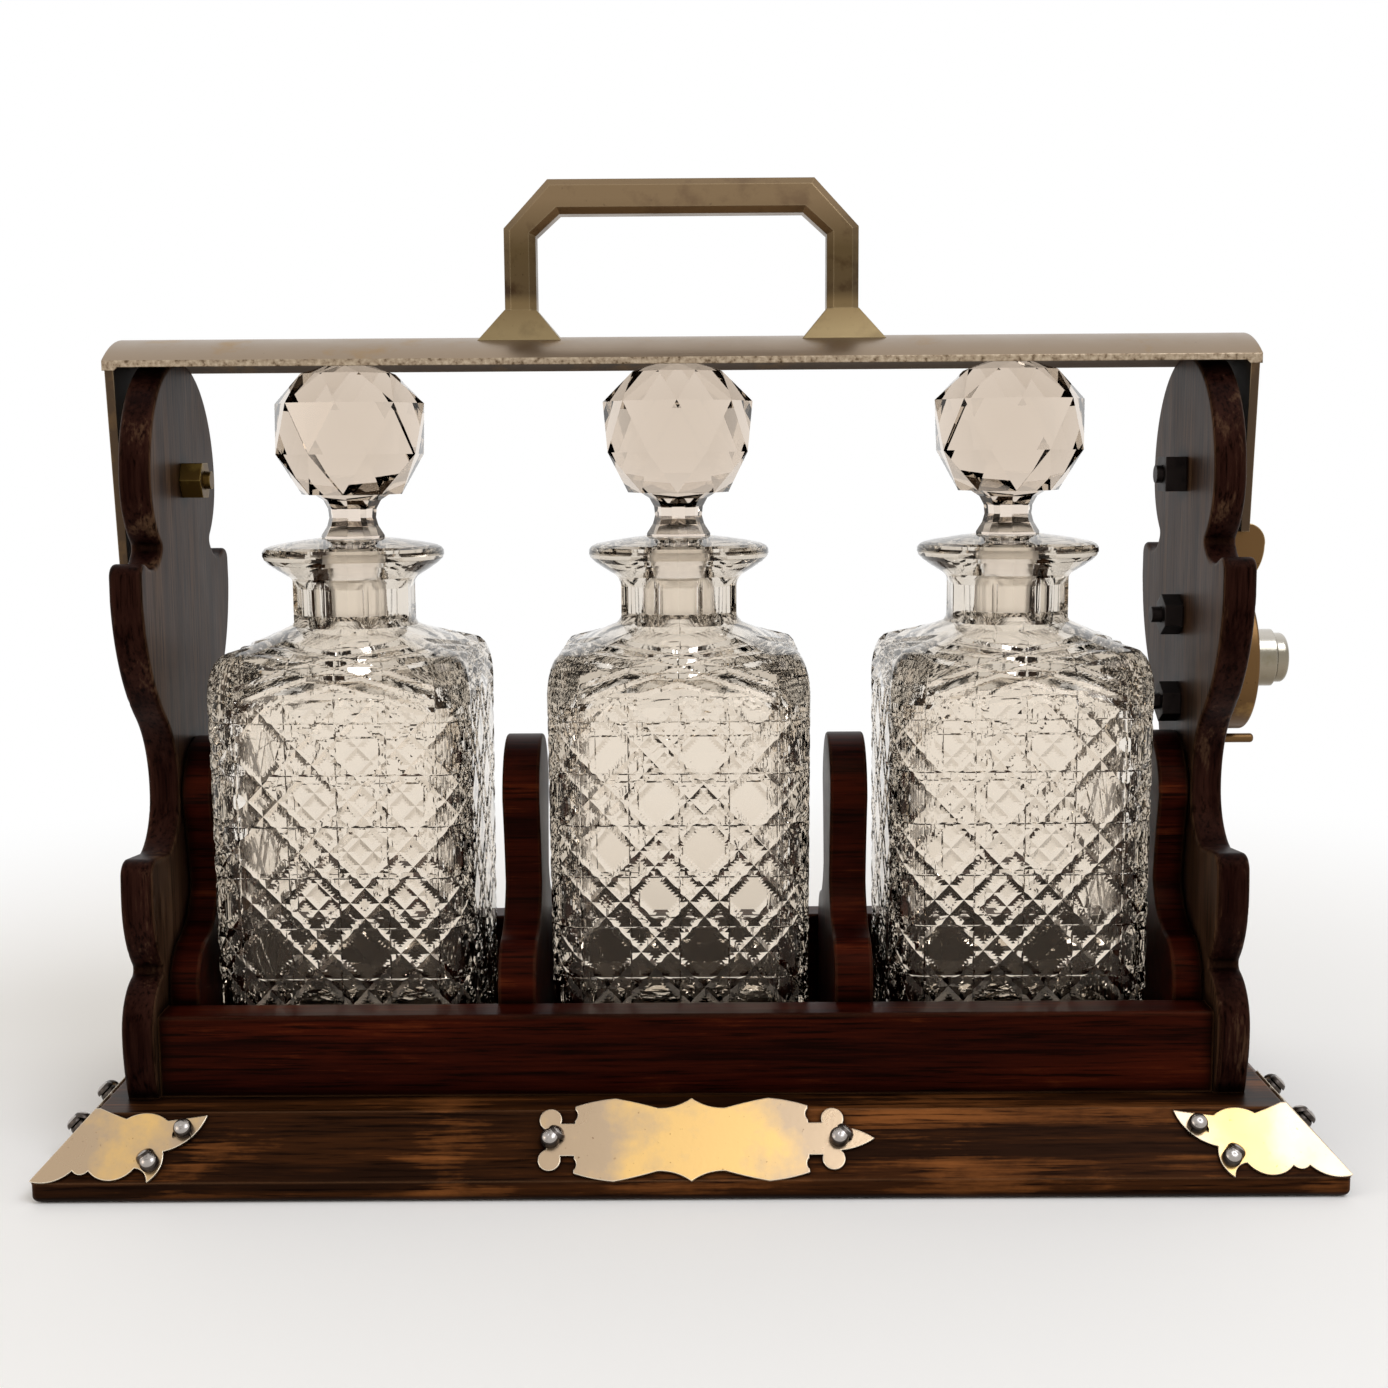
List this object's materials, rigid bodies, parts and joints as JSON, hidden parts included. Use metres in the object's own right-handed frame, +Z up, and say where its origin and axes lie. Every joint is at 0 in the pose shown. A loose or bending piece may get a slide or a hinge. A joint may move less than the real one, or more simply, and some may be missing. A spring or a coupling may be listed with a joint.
{
  "type": "tantalus",
  "caption": "Antique wooden tantalus stand with square cut-glass decanters held under a swinging, keyed locking bar with a carrying handle.",
  "frame": {"origin": "on the underside of the base board, midway between the end boards", "axes": "+X along the stand towards the lock, -Y out of the front with the nameplate, +Z up"},
  "size_m": [0.3741, 0.1616, 0.292],
  "materials": {
    "stained_oak": "dark waxed oak, worn at the edges",
    "polished_brass": "polished, worn",
    "aged_brass": "aged, brown patina",
    "worn_nickel": "worn nickel plate over brass",
    "bright_nickel": "bright plated",
    "steel_fixings": "dull steel",
    "cut_glass": "clear cut lead crystal"
  },
  "bodies": {
    "stand": {"base_board": "stained_oak", "board_screws": "steel_fixings", "front_rail": "stained_oak", "back_rail": "stained_oak", "end_board_left": "stained_oak", "end_board_right": "stained_oak", "cheek_left": "stained_oak", "cheek_right": "stained_oak", "divider_left": "stained_oak", "divider_right": "stained_oak", "corner_mount_front_left": "polished_brass", "corner_mount_front_right": "polished_brass", "corner_mount_back_left": "polished_brass", "corner_mount_back_right": "polished_brass", "nameplate": "polished_brass", "mount_nails": "steel_fixings", "pivot_bolt_left": "aged_brass", "pivot_bolt_right": "aged_brass", "pivot_nut_left": "aged_brass", "pivot_nut_right": "steel_fixings", "pivot_washers": "aged_brass", "lock_case": "aged_brass", "lock_barrel": "bright_nickel", "lock_studs": "aged_brass", "lock_nuts": "aged_brass", "lock_peg": "aged_brass"},
    "bar": {"bar_strip": "worn_nickel", "arm_left": "aged_brass", "arm_right": "aged_brass", "lock_keeper": "aged_brass", "handle": "worn_nickel", "handle_screws": "steel_fixings"},
    "lock_plug_body": {"lock_plug": "aged_brass"},
    "lock_bolt_body": {"lock_bolt": "aged_brass"},
    "decanter_left_body": {"decanter_left": "cut_glass"},
    "stopper_left_body": {"stopper_left": "cut_glass"},
    "decanter_middle_body": {"decanter_middle": "cut_glass"},
    "stopper_middle_body": {"stopper_middle": "cut_glass"},
    "decanter_right_body": {"decanter_right": "cut_glass"},
    "stopper_right_body": {"stopper_right": "cut_glass"}
  },
  "joints": [
    {"name": "bar_swing", "type": "hinge", "parent": "stand", "child": "bar", "pos_m": [0, 0, 0.202], "axis": [1, 0, 0], "range_deg": [-85, 85]},
    {"name": "lock_plug_turn", "type": "hinge", "parent": "stand", "child": "lock_plug_body", "pos_m": [0.18, 0, 0.1445], "axis": [1, 0, 0], "range_deg": [0, 90]},
    {"name": "lock_bolt_slide", "type": "slide", "parent": "stand", "child": "lock_bolt_body", "axis": [0, 0, 1], "range_m": [0, 0.00566]},
    {"name": "decanter_left_lift", "type": "slide", "parent": "stand", "child": "decanter_left_body", "axis": [0, 0, 1], "range_m": [0, 0.003]},
    {"name": "decanter_middle_lift", "type": "slide", "parent": "stand", "child": "decanter_middle_body", "axis": [0, 0, 1], "range_m": [0, 0.003]},
    {"name": "decanter_right_lift", "type": "slide", "parent": "stand", "child": "decanter_right_body", "axis": [0, 0, 1], "range_m": [0, 0.003]},
    {"name": "stopper_left_turn", "type": "hinge", "parent": "decanter_left_body", "child": "stopper_left_body", "pos_m": [-0.1032, 0, 0.19], "axis": [0, 0, 1], "continuous": true},
    {"name": "stopper_middle_turn", "type": "hinge", "parent": "decanter_middle_body", "child": "stopper_middle_body", "pos_m": [-0.0015, 0, 0.19], "axis": [0, 0, 1], "continuous": true},
    {"name": "stopper_right_turn", "type": "hinge", "parent": "decanter_right_body", "child": "stopper_right_body", "pos_m": [0.1012, 0, 0.19], "axis": [0, 0, 1], "continuous": true}
  ],
  "couplings": [
    {"joint": "lock_bolt_slide", "follows": "lock_plug_turn", "m_per_rad": 0.0036}
  ]
}
